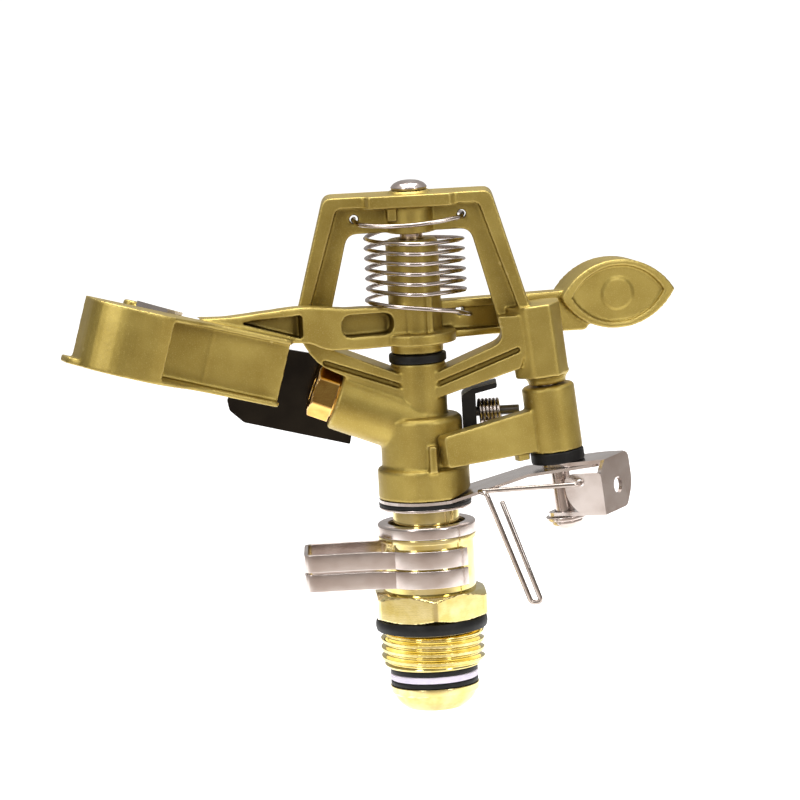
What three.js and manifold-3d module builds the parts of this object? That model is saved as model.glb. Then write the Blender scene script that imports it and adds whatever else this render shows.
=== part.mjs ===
// Part-circle impact sprinkler with a half-inch threaded inlet. Millimetres, +Z up, origin on the
// inlet's axis in the plane where its rubber washer seals. The nozzle points to -X, the trip gear is at +X.
import * as THREE from "three";
import { mergeVertices } from "three/addons/utils/BufferGeometryUtils.js";
import Module from "manifold-3d";

const wasm = await Module();
wasm.setup();

// ---------------------------------------------------------------- driving sizes
const gap = 0.3; // running clearance
const seat = 0.1; // air between flat pieces in a stack
const sides = 40; // facets of a turned piece
const through = 60; // longer than any cut

// inlet nipple, from the thread up
const threadRadius = 10.48;
const threadPitch = 1.814;
const threadDepth = 1.0;
const threadTurns = 4;
const threadRunout = 0.35;
const sealThickness = 2.4;
const sealRadius = 11.4;
const hexFlats = 22;
const hexHeight = 5.5;
const hexTurn = 4;
const barrelRadius = 9.4;
const barrelLength = 10.4;
const barrelFlange = 1;
const barrelFlangeRadius = 9.9;
const springWellRadius = 7.2;
const springWellFloor = 9;

// pivot tube that turns in the nipple, and its washers
const waterwayRadius = 3.9;
const pivotRadius = 4.9;
const pivotFlangeRadius = 9;
const pivotFlangeHeight = 1.6;
const pivotDomeHeight = 3.4;
const pivotDomeRadius = 5.8;
const softWasher = 1;
const slipWasher = 1.3;
const washerRadius = 8.85;
const pivotTopInHub = 8;

// spring cup, sleeve and pivot spring between the nipple and the head
const cupRadius = 9.95;
const cupOpening = 7.8;
const cupHeight = 2.4;
const sheet = 0.6;
const sleeveShown = 3;
const sleeveRadius = 6.7;
const sleeveWall = 0.5;
const pivotSpringRadius = 5.7;
const pivotSpringWire = 0.34;
const pivotSpringTurns = 6;

// friction collars on the nipple's barrel
const collarWall = 0.8;
const collarHeight = 3.6;
const collarFit = 0.15;
const collarSpacing = 0.4;
const collarTabReach = 25;
const collarTabHalf = 7;
const collarMouthHalf = 6.4;
const collarBend = 0.8;
const collarLeave = 48; // degrees round from the tab

// head casting: hub, pivot column, nozzle barrel
const hubWasherRadius = 9.35;
const hubRingRadius = 9.25;
const hubRingHeight = 6.4;
const hubRadius = 8.3;
const hubHeight = 16.6;
const hubBore = pivotRadius + gap;
const columnRadius = 5.5;
const columnHeight = 10.8;
const nozzleRise = 22;
const nozzleAxisHeight = 14.2;
const nozzleBarrelRadius = 6.4;
const nozzleBarrelLength = 18.1;
const nozzleBore = 4.5;
const nozzleHexFlats = 9.4;
const nozzleHexLength = 4.6;
const jetRadius = 2.2;

// bridge frame over the pivot column
const bridgeBar = 7.8;
const bridgeDepth = 9;
const bridgeShift = -0.5;
const bridgeTopHalf = 16.8;
const bridgeLean = 0.279;
const bridgeLeg = 17.8;
const bridgeRim = 2.2;
const bridgeWeb = 2.6;
const windowTopHalf = 12.3;
const windowLean = 0.25;
const windowFootDrop = 0.4;
const strutRootDrop = 1.8;
const strutRootRise = 3.6;
const strutFootDrop = 2;
const strutFootX = 20.5;
const strutHalf = 3.4;
const strutGroove = 1.1;
const upperBossDrop = 0.2;
const upperBossGap = 1.3;
const upperBossRadius = 4.6;
const padHalf = 9.2;
const padDepth = 1.1;
const springHoleReach = 10.8;
const springHoleRadius = 0.9;

// fulcrum pin, swing arm
const fulcrumRadius = 2.3;
const fulcrumHeadRadius = 3.7;
const fulcrumHeadHeight = 2;
const thrustWasher = 1.7;
const thrustRadius = 5.8;
const armRest = 17;
const armHubRadius = 5.3;
const armHubLength = 23;
const armRise = 4;
const armPlate = 4.2;
const armHeight = 7.8;
const armShoulderRise = 1.8;
const armWeb = 1.2;
const spoonStart = 29.2;
const spoonDrop = 3.2;
const spoonTilt = 17;
const spoonLength = 43;
const spoonLip = 2.2;
const spoonHalf = 6.8;
const spoonWall = 1.3;
const spoonRim = 0.95;
const spoonBulge = 11.5;
const vaneRoot = 16;
const vaneRun = 14;
const vaneSet = 13.5;
const vaneWall = 1.5;
const wearSheet = 0.35;
const weightReach = 42.8;
const weightRise = 6;
const weightLength = 24.4;
const weightWidth = 14;
const weightThickness = 7.5;
const weightRim = 1.2;
const weightRecess = 0.9;
const weightMark = 3.1;

// arm spring
const armSpringRadius = 9.75;
const armSpringShift = 0.5;
const armSpringWire = 0.45;
const armSpringTurns = 6;
const armHookReach = 10;
const armHookRise = 5.2;

// trip gear, on a pin that leans outwards
const tripX = 25.75;
const tripDrop = 5.8;
const tripLean = 5.2;
const tripPinRadius = 1.9;
const tripNeckRadius = 3.8;
const tripNeckHeight = 0.8;
const tripBossHalf = 5.5;
const tripBossHeight = 15.6;
const leverRadius = 5.3;
const leverHeight = 13.3;
const leverReach = 24.8;
const leverSwing = 24;
const leverThickness = 3.8;
const leverArmTop = 5.4;
const leverArmBottom = 12.6;
const leverPad = 2.3;
const leverPadRadius = 5.4;
const bracketSheet = 0.8;
const bracketTurn = -31;
const bracketReach = 11;
const bracketFront = 3;
const bracketDepth = 12.2;
const bracketHeight = 9.4;
const strapSheet = 0.6;
const strapBend = 5.2;
const wireRadius = 0.5;
const pinHeadRadius = 3.3;
const pinWasherRadius = 4.1;

// ---------------------------------------------------------------- heights worked out from them
const threadLength = threadTurns * threadPitch;
const nippleBottom = -threadLength - threadRunout;
const hexBottom = sealThickness + seat;
const hexTop = hexBottom + hexHeight;
const barrelTop = hexTop + barrelLength;
const nippleTop = barrelTop + barrelFlange;
const cupBottom = nippleTop + seat;
const cupTop = cupBottom + cupHeight;
const headSeat = cupTop + sleeveShown;
const steelWasherTop = headSeat + 0.5;
const rubberWasherTop = steelWasherTop + seat + 0.7;
const strapBottom = rubberWasherTop + seat;
const hubBottom = strapBottom + strapSheet + seat;
const hubRingTop = hubBottom + hubRingHeight;
const hubTop = hubBottom + hubHeight;
const columnTop = hubTop + columnHeight;
const armSetOff = armPlate / 2;
const armBottom = columnTop + thrustWasher + 2 * seat;
const pinBottom = columnTop - 5;
const tripZ = columnTop - tripDrop;
const armFloor = columnTop + armRise;
const armTop = armFloor + armHeight;
const armShoulder = armTop + armShoulderRise;
const armHubTop = armBottom + armHubLength;
const armHookHeight = armFloor + armHookRise;
const spoonHeight = armFloor - spoonDrop;
const weightHeight = armFloor + weightRise;
const upperBossBottom = armHubTop + upperBossGap;
const windowTop = upperBossBottom + upperBossDrop;
const windowFoot = armFloor - windowFootDrop;
const bridgeTop = windowTop + bridgeBar;
const bridgeFoot = windowTop - bridgeLeg;
const strutRootTop = columnTop - strutRootDrop;
const strutRootBottom = hubTop + strutRootRise;
const strutFootBottom = columnTop - strutFootDrop;
const armSpringFloor = armTop + 1.3;
const armSpringCeiling = windowTop - armSpringWire - 0.65;
const bridgeFootHalf = bridgeTopHalf + bridgeLean * (bridgeTop - bridgeFoot);
const windowFootHalf = windowTopHalf + windowLean * (windowTop - windowFoot);

// ---------------------------------------------------------------- ways of making solids
const rad = THREE.MathUtils.degToRad;
const vec = (x, y, z) => new THREE.Vector3(x, y, z);
const upAxis = vec(0, 0, 1);

/** A manifold solid from a closed three.js geometry, with its faces turned outwards. */
function solid(geometry) {
  const bare = geometry.clone();
  bare.deleteAttribute("normal");
  bare.deleteAttribute("uv");
  const merged = mergeVertices(bare, 1e-4);
  const faces = [];
  const index = merged.index.array;
  for (let i = 0; i < index.length; i += 3) {
    const [a, b, c] = [index[i], index[i + 1], index[i + 2]];
    if (a !== b && b !== c && c !== a) faces.push(a, b, c);
  }
  const points = merged.attributes.position.array;
  const corner = (i) => vec(points[3 * i], points[3 * i + 1], points[3 * i + 2]);
  let volume = 0;
  for (let i = 0; i < faces.length; i += 3) {
    volume += corner(faces[i]).dot(corner(faces[i + 1]).cross(corner(faces[i + 2])));
  }
  if (volume < 0) faces.reverse();
  const mesh = new wasm.Mesh({
    numProp: 3,
    vertProperties: new Float32Array(points),
    triVerts: new Uint32Array(faces),
  });
  return new wasm.Manifold(mesh);
}

const join = (...bodies) => bodies.reduce((all, body) => all.add(body));
const cut = (body, ...tools) => tools.reduce((left, tool) => left.subtract(tool), body);

/** A frame at a point with its X and Y along two directions. */
function frameAt(point, x, y) {
  const z = x.clone().cross(y);
  return new THREE.Matrix4().makeBasis(x, y, z).setPosition(point);
}

/** A turned solid about Z, from [radius, height] pairs. */
function turned(profile, placing = new THREE.Matrix4(), facets = sides) {
  const points = profile.map(([r, z]) => new THREE.Vector2(r, z));
  const geometry = new THREE.LatheGeometry(points, facets).rotateX(Math.PI / 2);
  return solid(geometry.applyMatrix4(placing));
}

const disc = (radius, low, high, placing, facets) =>
  turned([[0, low], [radius, low], [radius, high], [0, high]], placing, facets);

const ring = (inner, outer, low, high, placing, facets) =>
  turned([[inner, low], [outer, low], [outer, high], [inner, high], [inner, low]], placing, facets);

/** An outline through corner points, each rounded by its own radius [x, y, r] or by a common one. */
function outline(corners, common = 0) {
  const shape = new THREE.Shape();
  const count = corners.length;
  corners.forEach(([x, y, own], i) => {
    const here = new THREE.Vector2(x, y);
    const last = new THREE.Vector2(...corners[(i + count - 1) % count].slice(0, 2));
    const next = new THREE.Vector2(...corners[(i + 1) % count].slice(0, 2));
    const reach = Math.min(own ?? common, 0.45 * here.distanceTo(last), 0.45 * here.distanceTo(next));
    const from = here.clone().add(last.sub(here).setLength(reach));
    const to = here.clone().add(next.sub(here).setLength(reach));
    if (i === 0) shape.moveTo(from.x, from.y);
    else shape.lineTo(from.x, from.y);
    if (reach > 0) shape.quadraticCurveTo(x, y, to.x, to.y);
  });
  shape.closePath();
  return shape;
}

/** A plate: an outline in a frame's XY plane, standing from one height to another above it. */
function plate(shape, low, high, placing = new THREE.Matrix4(), smooth = 4) {
  const options = { depth: high - low, bevelEnabled: false, curveSegments: smooth };
  const geometry = new THREE.ExtrudeGeometry(shape, options).translate(0, 0, low);
  return solid(geometry.applyMatrix4(placing));
}

const block = (x0, x1, y0, y1, z0, z1, placing) =>
  plate(outline([[x0, y0], [x1, y0], [x1, y1], [x0, y1]]), z0, z1, placing);

/** The upright plane seen from the front: outlines in X and Z, depth measured towards the viewer. */
const upright = frameAt(vec(0, 0, 0), vec(1, 0, 0), vec(0, 0, 1));

function hexagon(flats, turn = 0) {
  const corners = [];
  for (let i = 0; i < 6; i += 1) {
    const angle = rad(60 * i + turn);
    const reach = flats / 2 / Math.cos(rad(30));
    corners.push([reach * Math.cos(angle), reach * Math.sin(angle)]);
  }
  return outline(corners);
}

/** Points of a bent wire: straight runs, with each bend rounded. */
function bent(corners, bend) {
  const points = [corners[0]];
  for (let i = 1; i < corners.length - 1; i += 1) {
    const [last, here, next] = [corners[i - 1], corners[i], corners[i + 1]];
    const reach = Math.min(bend, 0.45 * here.distanceTo(last), 0.45 * here.distanceTo(next));
    const from = here.clone().add(last.clone().sub(here).setLength(reach));
    const to = here.clone().add(next.clone().sub(here).setLength(reach));
    const curve = new THREE.QuadraticBezierCurve3(from, here, to);
    points.push(...curve.getPoints(4));
  }
  points.push(corners[corners.length - 1]);
  return points;
}

/** A round wire along a list of points. */
function wire(points, radius, steps, facets = 6) {
  const section = [];
  for (let i = 0; i < facets; i += 1) {
    const angle = (2 * Math.PI * i) / facets;
    section.push(new THREE.Vector2(radius * Math.cos(angle), radius * Math.sin(angle)));
  }
  const path = new THREE.CatmullRomCurve3(points, false, "centripetal");
  path.arcLengthDivisions = 8 * steps;
  const options = { steps, extrudePath: path, bevelEnabled: false };
  return solid(new THREE.ExtrudeGeometry(new THREE.Shape(section), options));
}

/** Points of a coil about Z, turning from one angle through a number of turns. */
function coil(radius, low, high, turns, start, perTurn = 14) {
  const count = Math.round(Math.abs(turns) * perTurn);
  const points = [];
  for (let i = 0; i <= count; i += 1) {
    const angle = rad(start) + (2 * Math.PI * turns * i) / count;
    const height = low + ((high - low) * i) / count;
    points.push(vec(radius * Math.cos(angle), radius * Math.sin(angle), height));
  }
  return points;
}

// ---------------------------------------------------------------- finishes and the scene graph
const finishes = {
  paint: { color: 0xb5a04c, metalness: 0.6, roughness: 0.42 },
  brass: { color: 0xe2c25a, metalness: 1, roughness: 0.18 },
  steel: { color: 0xc9c4c0, metalness: 1, roughness: 0.28 },
  darkSteel: { color: 0x4b4844, metalness: 0.9, roughness: 0.4 },
  rubber: { color: 0x161616, metalness: 0, roughness: 0.6 },
  slip: { color: 0xeeebf2, metalness: 0, roughness: 0.45 },
  plastic: { color: 0x1d1c1a, metalness: 0, roughness: 0.5 },
};

const sprinkler = new THREE.Group();
const arm = new THREE.Group();
arm.rotation.z = rad(armRest);
sprinkler.add(arm);
const trip = new THREE.Group();
trip.position.set(tripX, 0, tripZ);
trip.rotation.y = rad(-tripLean);
sprinkler.add(trip);
const bracket = new THREE.Group();
bracket.rotation.z = rad(bracketTurn);
trip.add(bracket);

function add(name, body, finish, parent = sprinkler) {
  const shell = body.getMesh();
  const geometry = new THREE.BufferGeometry();
  geometry.setAttribute("position", new THREE.BufferAttribute(shell.vertProperties, 3));
  geometry.setIndex(new THREE.BufferAttribute(shell.triVerts, 1));
  geometry.computeVertexNormals();
  const mesh = new THREE.Mesh(geometry, new THREE.MeshStandardMaterial(finishes[finish]));
  mesh.name = name;
  parent.add(mesh);
}

// ---------------------------------------------------------------- inlet nipple and its washer
function inletNipple() {
  const root = threadRadius - threadDepth;
  const wall = [[hubBore, nippleBottom], [root, nippleBottom]];
  for (let i = 0; i < threadTurns; i += 1) {
    const low = -threadLength + i * threadPitch;
    wall.push([root, low], [threadRadius, low + 0.38 * threadPitch]);
    wall.push([threadRadius, low + 0.52 * threadPitch], [root, low + 0.9 * threadPitch]);
  }
  wall.push([root, 0], [threadRadius, 0], [threadRadius, hexTop - 1], [barrelRadius, hexTop - 1]);
  wall.push([barrelRadius, barrelTop], [barrelFlangeRadius, barrelTop]);
  wall.push([barrelFlangeRadius, nippleTop], [springWellRadius, nippleTop]);
  wall.push([springWellRadius, springWellFloor], [hubBore, springWellFloor], [hubBore, nippleBottom]);
  const hexReach = hexFlats / 2 / Math.cos(rad(30));
  const bevel = hexReach - hexFlats / 2;
  const crown = turned([
    [root - 1, hexBottom], [hexFlats / 2, hexBottom], [hexReach, hexBottom + bevel / 2],
    [hexReach, hexTop - bevel / 2], [hexFlats / 2, hexTop], [root - 1, hexTop], [root - 1, hexBottom],
  ]);
  const nut = plate(hexagon(hexFlats, hexTurn - 90), hexBottom, hexTop).intersect(crown);
  return join(turned(wall), nut);
}
add("inlet_nipple", inletNipple(), "brass");
add("inlet_washer", ring(threadRadius + seat, sealRadius, 0, sealThickness), "rubber");

// ---------------------------------------------------------------- pivot tube and bearing washers
const upperWasherTop = nippleBottom - seat;
const slipWasherTop = upperWasherTop - softWasher - seat;
const lowerWasherTop = slipWasherTop - slipWasher - seat;
const pivotShoulder = lowerWasherTop - softWasher - seat;
const domeTop = pivotShoulder - pivotFlangeHeight;
const pivotTop = hubBottom + pivotTopInHub;
add("pivot_tube", turned([
  [waterwayRadius, domeTop - pivotDomeHeight], [pivotDomeRadius, domeTop - pivotDomeHeight],
  [pivotDomeRadius + 1.8, domeTop - 0.55 * pivotDomeHeight], [pivotFlangeRadius - 0.3, domeTop],
  [pivotFlangeRadius, domeTop + 0.3], [pivotFlangeRadius, pivotShoulder], [pivotRadius, pivotShoulder],
  [pivotRadius, pivotTop], [waterwayRadius, pivotTop], [waterwayRadius, domeTop - pivotDomeHeight],
]), "brass");
add("upper_bearing_washer", ring(hubBore, washerRadius, upperWasherTop - softWasher, upperWasherTop), "rubber");
add("slip_washer", ring(hubBore, washerRadius + 0.1, slipWasherTop - slipWasher, slipWasherTop), "slip");
add("lower_bearing_washer", ring(hubBore, washerRadius, lowerWasherTop - softWasher, lowerWasherTop), "rubber");

// ---------------------------------------------------------------- spring cup, sleeve and pivot spring
add("spring_cup", turned([
  [cupRadius - sheet, cupBottom], [cupRadius, cupBottom], [cupRadius, cupTop - 0.3],
  [cupRadius - 0.3, cupTop], [cupOpening, cupTop], [cupOpening, cupTop - sheet],
  [cupRadius - sheet, cupTop - sheet], [cupRadius - sheet, cupBottom],
]), "steel");
const sleeveBottom = springWellFloor + 1.5;
add("pivot_sleeve", ring(sleeveRadius - sleeveWall, sleeveRadius, sleeveBottom, headSeat - seat), "brass");
const pivotSpringLow = springWellFloor + pivotSpringWire + seat;
const pivotSpringHigh = headSeat - pivotSpringWire - seat;
const pivotCoil = coil(pivotSpringRadius, pivotSpringLow, pivotSpringHigh, pivotSpringTurns, 0, 10);
add("pivot_spring", wire(pivotCoil, pivotSpringWire, 10 * pivotSpringTurns, 5), "steel");

// ---------------------------------------------------------------- friction collars
/** Two flat strips leave the ring, bend in and run side by side to the rounded end of the tab. */
function collar(low) {
  const inner = barrelRadius + collarFit;
  const outer = inner + collarWall;
  const high = low + collarHeight;
  const filled = (radius, shrink, from, to) => {
    const [x, y] = [radius * Math.cos(rad(collarLeave)), radius * Math.sin(rad(collarLeave))];
    const [reach, bend, half] = [collarTabReach - shrink, outer + collarBend, collarTabHalf - shrink];
    const corner = 2 - shrink;
    const tab = outline([
      [-reach, -half, corner], [-bend, -half, 1.6], [-x, -y], [-x, y], [-bend, half, 1.6], [-reach, half, corner],
    ]);
    return join(disc(radius, from, to), plate(tab, from, to));
  };
  const mouth = block(0, through, -collarMouthHalf, collarMouthHalf, low - 1, high + 1);
  return cut(filled(outer, 0, low, high), filled(inner, collarWall, low - 1, high + 1), mouth);
}
const lowerCollarBottom = hexTop + 1.55;
const upperCollarBottom = lowerCollarBottom + collarHeight + collarSpacing;
add("lower_collar", collar(lowerCollarBottom), "steel");
add("upper_collar", collar(upperCollarBottom), "steel");

// ---------------------------------------------------------------- head casting
const jet = vec(-Math.cos(rad(nozzleRise)), 0, Math.sin(rad(nozzleRise)));
const nozzleRoot = vec(0, 0, hubBottom + nozzleAxisHeight);
const barrelFrame = frameAt(nozzleRoot, vec(0, 1, 0), jet.clone().cross(vec(0, 1, 0)));
const tripFrame = new THREE.Matrix4().makeRotationY(rad(-tripLean)).setPosition(tripX, 0, tripZ);

const leverBottom = -gap - leverHeight;
const padBottom = leverBottom - seat - leverPad;
const bracketTopFace = padBottom - seat;
const strapTop = bracketTopFace - bracketSheet - seat;
const pinPoint = (x, z) => vec(x, 0, z).applyMatrix4(tripFrame);
const strapRaised = pinPoint(-6.5, strapTop);
const strapSlope = (strapRaised.z - strapBottom - strapSheet) / (strapRaised.x - strapBend);

/** Both sides of the bridge at a height: the outer or the window's half width there. */
const bridgeHalfAt = (z) => bridgeTopHalf + bridgeLean * (bridgeTop - z);
const windowHalfAt = (z) => windowTopHalf + windowLean * (windowTop - z);

function bridge() {
  const half = bridgeDepth / 2;
  const [left, right] = [bridgeShift - bridgeTopHalf, bridgeShift + bridgeTopHalf];
  const [leftFoot, rightFoot] = [-1, 1].map((side) => bridgeShift + side * bridgeHalfAt(bridgeFoot));
  const outer = outline([
    [left, bridgeTop, 1.6], [right, bridgeTop, 1.6], [rightFoot, bridgeFoot, 2],
    [strutFootX, strutFootBottom], [strutHalf, strutRootBottom], [-strutHalf, strutRootBottom],
    [-strutFootX, strutFootBottom + 3, 4], [leftFoot, bridgeFoot, 3],
  ]);
  const opening = outline([
    [bridgeShift - windowTopHalf, windowTop, 2], [bridgeShift + windowTopHalf, windowTop, 2],
    [bridgeShift + windowFootHalf, windowFoot, 2.6], [strutHalf + 0.5, strutRootTop],
    [-strutHalf - 0.5, strutRootTop], [bridgeShift - windowFootHalf, windowFoot + 0.8, 2.6],
  ]);
  const innerTop = bridgeTop - bridgeRim;
  const pocket = outline([
    [left + bridgeRim + 0.4, innerTop, 1], [right - bridgeRim - 0.4, innerTop, 1],
    [rightFoot - bridgeRim, bridgeFoot, 1], [rightFoot - 7, bridgeFoot, 1],
    [leftFoot + 7, bridgeFoot, 1], [leftFoot + bridgeRim, bridgeFoot, 1],
  ]);
  const frame = cut(plate(outer, -half, half, upright), plate(opening, -through, through, upright));
  const web = bridgeWeb / 2;
  const pockets = join(plate(pocket, web, through, upright), plate(pocket, -through, -web, upright));
  const rib = block(
    -upperBossRadius, -upperBossRadius + 1.8, -half, half, windowTop + 2.6, bridgeTop - 0.5);
  const pad = plate(outline([
    [-padHalf, -half], [-padHalf + padDepth, -half - padDepth], [padHalf - padDepth, -half - padDepth],
    [padHalf, -half], [padHalf, half], [-padHalf, half],
  ]), innerTop - 0.4, bridgeTop);
  const boss = join(
    disc(upperBossRadius, upperBossBottom, bridgeTop), disc(4, bridgeTop - 0.5, bridgeTop + 0.5));
  return join(cut(frame, pockets, grooves(half)), rib, pad, boss);
}

/** A narrow groove runs along the middle of each strut, front and back. */
function grooves(half) {
  const slope = (windowFoot - strutRootTop) / (windowFootHalf - strutHalf);
  const low = (x) => strutRootTop - 2.1 + slope * (x - strutHalf);
  const near = columnRadius - 2;
  const tools = [[-1, windowFootHalf + 1], [1, strutFootX]].flatMap(([side, far]) => {
    const shape = outline([
      [side * near, low(near)], [side * far, low(far)],
      [side * far, low(far) - strutGroove], [side * near, low(near) - strutGroove],
    ]);
    return [plate(shape, half - 1, through, upright), plate(shape, -through, 1 - half, upright)];
  });
  return join(...tools);
}

function tripBoss() {
  const high = tripNeckHeight + tripBossHeight;
  const shape = outline([
    [-tripBossHalf - 0.6, -2, 0.6], [-2.4, -tripBossHalf, 0.6], [2.6, -tripBossHalf, 0.6],
    [tripBossHalf - 0.9, -1.6, 0.6], [tripBossHalf - 0.9, 3.4, 0.6], [2.4, tripBossHalf - 0.6, 0.6],
    [-tripBossHalf - 0.6, tripBossHalf - 0.6, 0.6],
  ]);
  const body = plate(shape, tripNeckHeight + 1, high, tripFrame);
  const neck = turned([
    [0, 0], [tripNeckRadius, 0], [tripNeckRadius, tripNeckHeight],
    [tripBossHalf - 0.6, tripNeckHeight + 1.4], [0, tripNeckHeight + 1.4],
  ], tripFrame);
  return join(body, neck);
}

/** The lug on the hub that the trip lever's end rests beside. */
function stopLug() {
  const low = hubRingTop - 0.5;
  return block(1.3, 2.8, -hubRadius - 1.4, -hubRadius + 3, low, low + 5.4);
}

function headCasting() {
  const hub = turned([
    [0, hubBottom], [hubRingRadius, hubBottom], [hubRingRadius, hubRingTop - 0.4],
    [hubRadius, hubRingTop], [hubRadius, hubTop - 0.8], [hubRadius - 0.8, hubTop], [0, hubTop],
  ]);
  const column = disc(columnRadius, hubTop - 2, columnTop);
  const barrel = turned([
    [0, 0], [nozzleBarrelRadius, 0], [nozzleBarrelRadius, nozzleBarrelLength - 0.5],
    [nozzleBarrelRadius - 0.5, nozzleBarrelLength], [0, nozzleBarrelLength],
  ], barrelFrame);
  const lug = disc(2.6, 0, nozzleBarrelRadius + 0.9, deflectorFrame, 16);
  const solidHead = join(hub, column, barrel, lug, bridge(), tripBoss(), stopLug());
  const waterTop = hubBottom + nozzleAxisHeight;
  const far = hubRingRadius + 1;
  const relief = outline([
    [strapBend, hubBottom - 1], [strapBend, hubBottom],
    [far, hubBottom + (far - strapBend) * strapSlope + gap], [far, hubBottom - 1],
  ]);
  return cut(
    solidHead,
    plate(relief, -through, through, upright),
    disc(hubBore, hubBottom - 1, pivotTop + gap),
    disc(nozzleBore, hubBottom, waterTop),
    turned([[0, 0], [nozzleBore, 0], [nozzleBore, through], [0, through]], barrelFrame),
    disc(fulcrumRadius + gap, pinBottom - gap, through * 2),
    disc(tripPinRadius + gap, -1, 8, tripFrame),
    disc(deflectorPin + gap, nozzleBarrelRadius - 0.8, through, deflectorFrame, 16),
    springHole(-1),
    springHole(1),
  );
}

const springHoleHeight = windowTop + 3;
function springHole(side) {
  const centre = vec(side * springHoleReach + bridgeShift, 0, springHoleHeight);
  return disc(springHoleRadius, -through, through, frameAt(centre, vec(1, 0, 0), vec(0, 0, 1)), 12);
}

// the deflector plate's rivet goes into a small lug behind the barrel
const deflectorPin = 1.1;
const deflectorAlong = 12.5;
const deflectorFrame = frameAt(
  nozzleRoot.clone().addScaledVector(jet, deflectorAlong), vec(0, 0, 1), vec(1, 0, 0));
add("head_casting", headCasting(), "paint");

// ---------------------------------------------------------------- washers and strap under the hub
add("head_steel_washer", ring(hubBore, hubWasherRadius, headSeat, steelWasherTop), "steel");
add("head_rubber_washer", ring(hubBore, hubWasherRadius, steelWasherTop + seat, rubberWasherTop), "rubber");

/** The strap runs level under the hub, rises and ends square to the leaning trip pin. */
function strap() {
  const [near, far] = [strapRaised, pinPoint(10, strapTop)];
  const line = [
    [-hubWasherRadius, strapBottom + strapSheet], [strapBend, strapBottom + strapSheet],
    [near.x, near.z], [far.x, far.z],
  ];
  const under = line.map(([x, z]) => [x, z - strapSheet]).reverse();
  const side = plate(outline([...line, ...under]), -through, through, upright);
  const plan = join(
    disc(hubWasherRadius - 0.05, 0, through),
    plate(outline([
      [0, -8], [9, -7.4], [near.x, -5.6], [far.x - 2, -4.6, 2], [far.x - 0.4, -2, 2],
      [far.x - 0.4, 2, 2], [far.x - 2, 4.6, 2], [near.x, 5.6], [9, 6], [0, 8],
    ]), 0, through),
  );
  const holes = [disc(hubBore, 0, through), disc(tripPinRadius + gap, -through, 0, tripFrame)];
  return cut(side.intersect(plan), ...holes);
}
add("pin_strap", strap(), "steel");

// ---------------------------------------------------------------- nozzle and flow vane
function nozzle() {
  const face = nozzleBarrelLength + gap;
  const nut = plate(hexagon(nozzleHexFlats, 8), face, face + nozzleHexLength, barrelFrame);
  const reach = nozzleHexFlats / 2 / Math.cos(rad(30));
  const bevel = reach - nozzleHexFlats / 2;
  const crown = turned([
    [0, face - 1], [reach, face - 1], [reach, face + nozzleHexLength - bevel],
    [nozzleHexFlats / 2, face + nozzleHexLength - 0.1], [0, face + nozzleHexLength - 0.1],
  ], barrelFrame, 18);
  const spigot = disc(nozzleBore - gap, face - 6, face + 1, barrelFrame, 18);
  const lip = disc(nozzleHexFlats / 2 - 1, face + nozzleHexLength - 1, face + nozzleHexLength + 0.3, barrelFrame, 18);
  const water = turned([
    [0, face - 7], [nozzleBore - 1.2, face - 7], [nozzleBore - 1.2, face - 5], [jetRadius, face + 2],
    [jetRadius, face + 9], [0, face + 9],
  ], barrelFrame, 18);
  return cut(join(nut.intersect(crown), spigot, lip), water);
}
add("nozzle", nozzle(), "brass");

function flowVane() {
  const wide = nozzleBore - gap;
  const [low, high] = [2.5, nozzleBarrelLength - 6.5];
  return join(
    block(-wide + 0.1, wide - 0.1, -0.4, 0.4, low, high, barrelFrame),
    block(-0.4, 0.4, -wide + 0.1, wide - 0.1, low, high, barrelFrame),
  );
}
add("flow_vane", flowVane(), "slip");

// ---------------------------------------------------------------- deflector plate behind the nozzle
const deflectorBack = nozzleBarrelRadius + 0.9 + gap;
const deflectorSheet = 0.8;
function deflector() {
  const shape = outline([
    [-39, 6.3, 0.4], [-38.6, 4.1, 0.4], [-35.8, 1.5, 0.4], [-14.6, -4.1, 0.3], [-13.6, 0.3, 0.4],
    [-7.4, 1.5, 2], [-7.4, 9.5, 2], [-17, 13.9, 1], [-33, 17.5, 2],
  ].map(([x, up, round]) => [x, nozzleRoot.z + up, round]));
  const sheetMetal = plate(shape, -deflectorBack - deflectorSheet, -deflectorBack, upright);
  return cut(sheetMetal, disc(deflectorPin + gap, 0, through, deflectorFrame, 16));
}
add("deflector_plate", deflector(), "steel");
add("deflector_rivet", turned([
  [0, nozzleBarrelRadius - 0.5], [deflectorPin, nozzleBarrelRadius - 0.5],
  [deflectorPin, deflectorBack + deflectorSheet + seat], [2.4, deflectorBack + deflectorSheet + seat],
  [2.2, deflectorBack + deflectorSheet + 0.9], [1.2, deflectorBack + deflectorSheet + 1.4],
  [0, deflectorBack + deflectorSheet + 1.5],
], deflectorFrame, 16), "steel");

// ---------------------------------------------------------------- fulcrum pin and thrust washer
const headSits = bridgeTop + 0.5 + seat;
add("fulcrum_pin", turned([
  [0, pinBottom], [fulcrumRadius, pinBottom], [fulcrumRadius, headSits],
  [fulcrumHeadRadius - 0.2, headSits], [fulcrumHeadRadius, headSits + 0.5],
  [fulcrumHeadRadius - 0.6, headSits + 0.62 * fulcrumHeadHeight],
  [fulcrumHeadRadius - 1.9, headSits + 0.92 * fulcrumHeadHeight], [0, headSits + fulcrumHeadHeight],
]), "steel");
add("thrust_washer", ring(fulcrumRadius + gap, thrustRadius, columnTop + seat, columnTop + seat + thrustWasher), "rubber");

// ---------------------------------------------------------------- swing arm with spoon and weight
const spoonAngle = rad(spoonTilt);
const spoonDir = vec(-Math.cos(spoonAngle), 0, Math.sin(spoonAngle));
const spoonPlan = frameAt(vec(-spoonStart, -armSetOff - armPlate / 2, spoonHeight), spoonDir, vec(0, -1, 0));

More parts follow.
